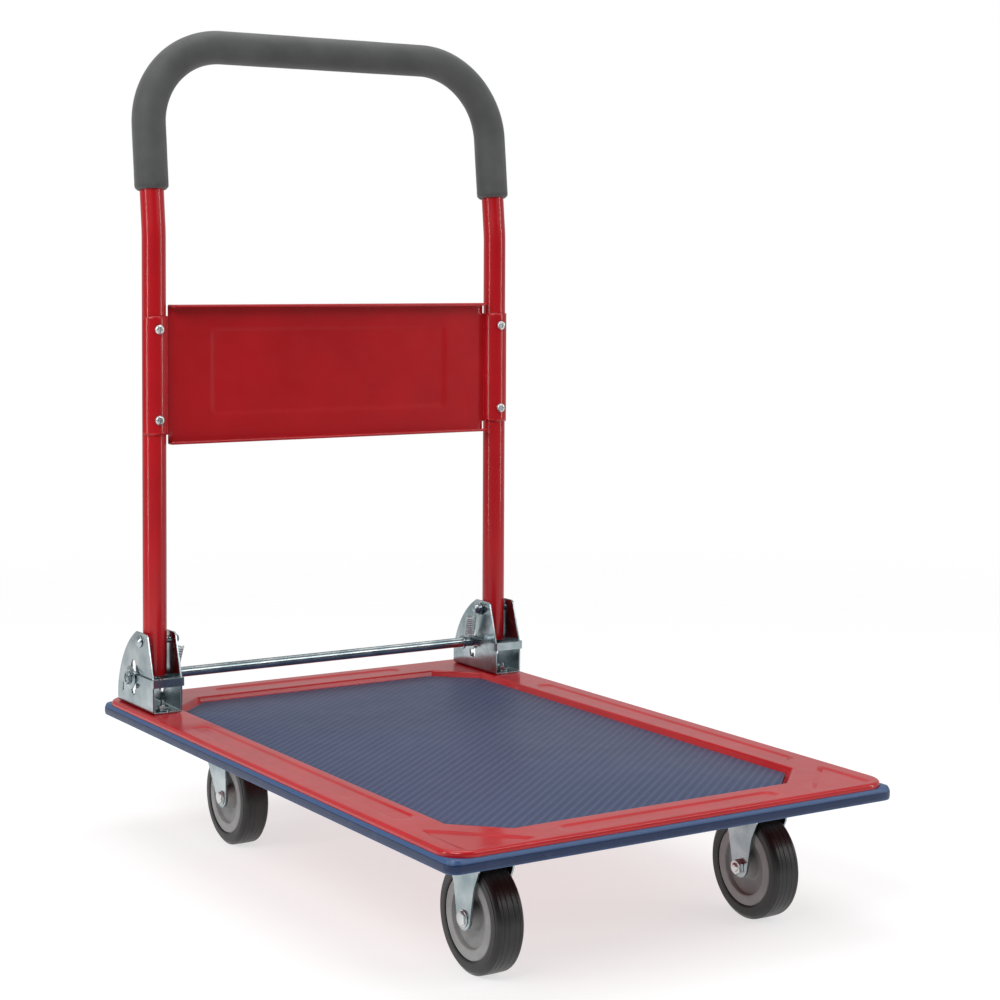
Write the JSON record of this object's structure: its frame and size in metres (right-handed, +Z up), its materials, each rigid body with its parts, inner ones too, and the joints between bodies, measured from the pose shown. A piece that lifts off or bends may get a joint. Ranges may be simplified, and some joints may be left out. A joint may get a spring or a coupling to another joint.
{
  "type": "folding platform cart",
  "caption": "Folding platform cart: pressed steel deck with mat and bumper on fixed and swivel casters, and a push handle that folds flat over the deck.",
  "frame": {"origin": "on the floor under the middle of the platform's outline", "axes": "+Z up; +Y towards the handle end; +X to the right seen from the free end looking at the handle"},
  "size_m": [0.48, 0.74, 0.8641],
  "materials": {
    "red_paint": "glossy enamel",
    "underside_paint": "satin enamel",
    "mat_vinyl": "ribbed satin",
    "bumper_vinyl": "soft gloss",
    "grip_foam": "matte foam",
    "bright_zinc": "bright zinc plate",
    "spring_steel": "bright wire",
    "tyre_rubber": "satin black",
    "wheel_plastic": "moulded satin"
  },
  "bodies": {
    "chassis": {"deck_pan": "red_paint", "deck_mat": "mat_vinyl", "bumper_strip": "bumper_vinyl", "front_crossmember": "underside_paint", "rear_crossmember": "underside_paint", "centre_stiffener": "underside_paint", "hinge_bracket_left": "bright_zinc", "pivot_bolt_left": "bright_zinc", "pivot_nut_left": "bright_zinc", "latch_spring_left": "spring_steel", "bracket_bolt_left_front": "bright_zinc", "bracket_bolt_left_rear": "bright_zinc", "bracket_nut_left_front": "bright_zinc", "bracket_nut_left_rear": "bright_zinc", "fixed_fork_left": "bright_zinc", "axle_bolt_front_left": "bright_zinc", "axle_nut_front_left": "bright_zinc", "swivel_plate_left": "bright_zinc", "swivel_race_left": "bright_zinc", "kingpin_left": "bright_zinc", "hinge_bracket_right": "bright_zinc", "pivot_bolt_right": "bright_zinc", "pivot_nut_right": "bright_zinc", "latch_spring_right": "spring_steel", "bracket_bolt_right_front": "bright_zinc", "bracket_bolt_right_rear": "bright_zinc", "bracket_nut_right_front": "bright_zinc", "bracket_nut_right_rear": "bright_zinc", "fixed_fork_right": "bright_zinc", "axle_bolt_front_right": "bright_zinc", "axle_nut_front_right": "bright_zinc", "swivel_plate_right": "bright_zinc", "swivel_race_right": "bright_zinc", "kingpin_right": "bright_zinc"},
    "handle": {"handle_tube": "red_paint", "handle_grip": "grip_foam", "handle_panel": "red_paint", "panel_screw_left_lower": "bright_zinc", "panel_screw_left_upper": "bright_zinc", "panel_screw_right_lower": "bright_zinc", "panel_screw_right_upper": "bright_zinc"},
    "release": {"release_rod": "bright_zinc", "lock_yoke_left": "bright_zinc", "rod_end_nut_left": "bright_zinc", "lock_yoke_right": "bright_zinc", "rod_end_nut_right": "bright_zinc"},
    "rear_swivel_left": {"swivel_fork_left": "bright_zinc", "axle_bolt_rear_left": "bright_zinc", "axle_nut_rear_left": "bright_zinc"},
    "rear_swivel_right": {"swivel_fork_right": "bright_zinc", "axle_bolt_rear_right": "bright_zinc", "axle_nut_rear_right": "bright_zinc"},
    "front_wheel_left": {"tyre_front_left": "tyre_rubber", "wheel_core_front_left": "wheel_plastic"},
    "front_wheel_right": {"tyre_front_right": "tyre_rubber", "wheel_core_front_right": "wheel_plastic"},
    "rear_wheel_left": {"tyre_rear_left": "tyre_rubber", "wheel_core_rear_left": "wheel_plastic"},
    "rear_wheel_right": {"tyre_rear_right": "tyre_rubber", "wheel_core_rear_right": "wheel_plastic"}
  },
  "joints": [
    {"name": "handle_fold", "type": "hinge", "parent": "chassis", "child": "handle", "pos_m": [0, 0.2846, 0.21], "axis": [1, 0, 0], "range_deg": [0, 90]},
    {"name": "release_press", "type": "slide", "parent": "chassis", "child": "release", "axis": [0, 0, 1], "range_m": [-0.013, 0], "stiffness_N_per_m": 1500, "springref_m": 0.012, "deforming": ["latch_spring_left", "latch_spring_right"]},
    {"name": "rear_swivel_left", "type": "hinge", "parent": "chassis", "child": "rear_swivel_left", "pos_m": [-0.1515, 0.245, 0.05], "axis": [0, 0, 1], "continuous": true},
    {"name": "rear_swivel_right", "type": "hinge", "parent": "chassis", "child": "rear_swivel_right", "pos_m": [0.1515, 0.245, 0.05], "axis": [0, 0, 1], "continuous": true},
    {"name": "front_wheel_left_spin", "type": "hinge", "parent": "chassis", "child": "front_wheel_left", "pos_m": [-0.1515, -0.2755, 0.05], "axis": [1, 0, 0], "continuous": true},
    {"name": "front_wheel_right_spin", "type": "hinge", "parent": "chassis", "child": "front_wheel_right", "pos_m": [0.1515, -0.2755, 0.05], "axis": [1, 0, 0], "continuous": true},
    {"name": "rear_wheel_left_spin", "type": "hinge", "parent": "rear_swivel_left", "child": "rear_wheel_left", "pos_m": [-0.1515, 0.2125, 0.05], "axis": [1, 0, 0], "continuous": true},
    {"name": "rear_wheel_right_spin", "type": "hinge", "parent": "rear_swivel_right", "child": "rear_wheel_right", "pos_m": [0.1515, 0.2125, 0.05], "axis": [1, 0, 0], "continuous": true}
  ]
}
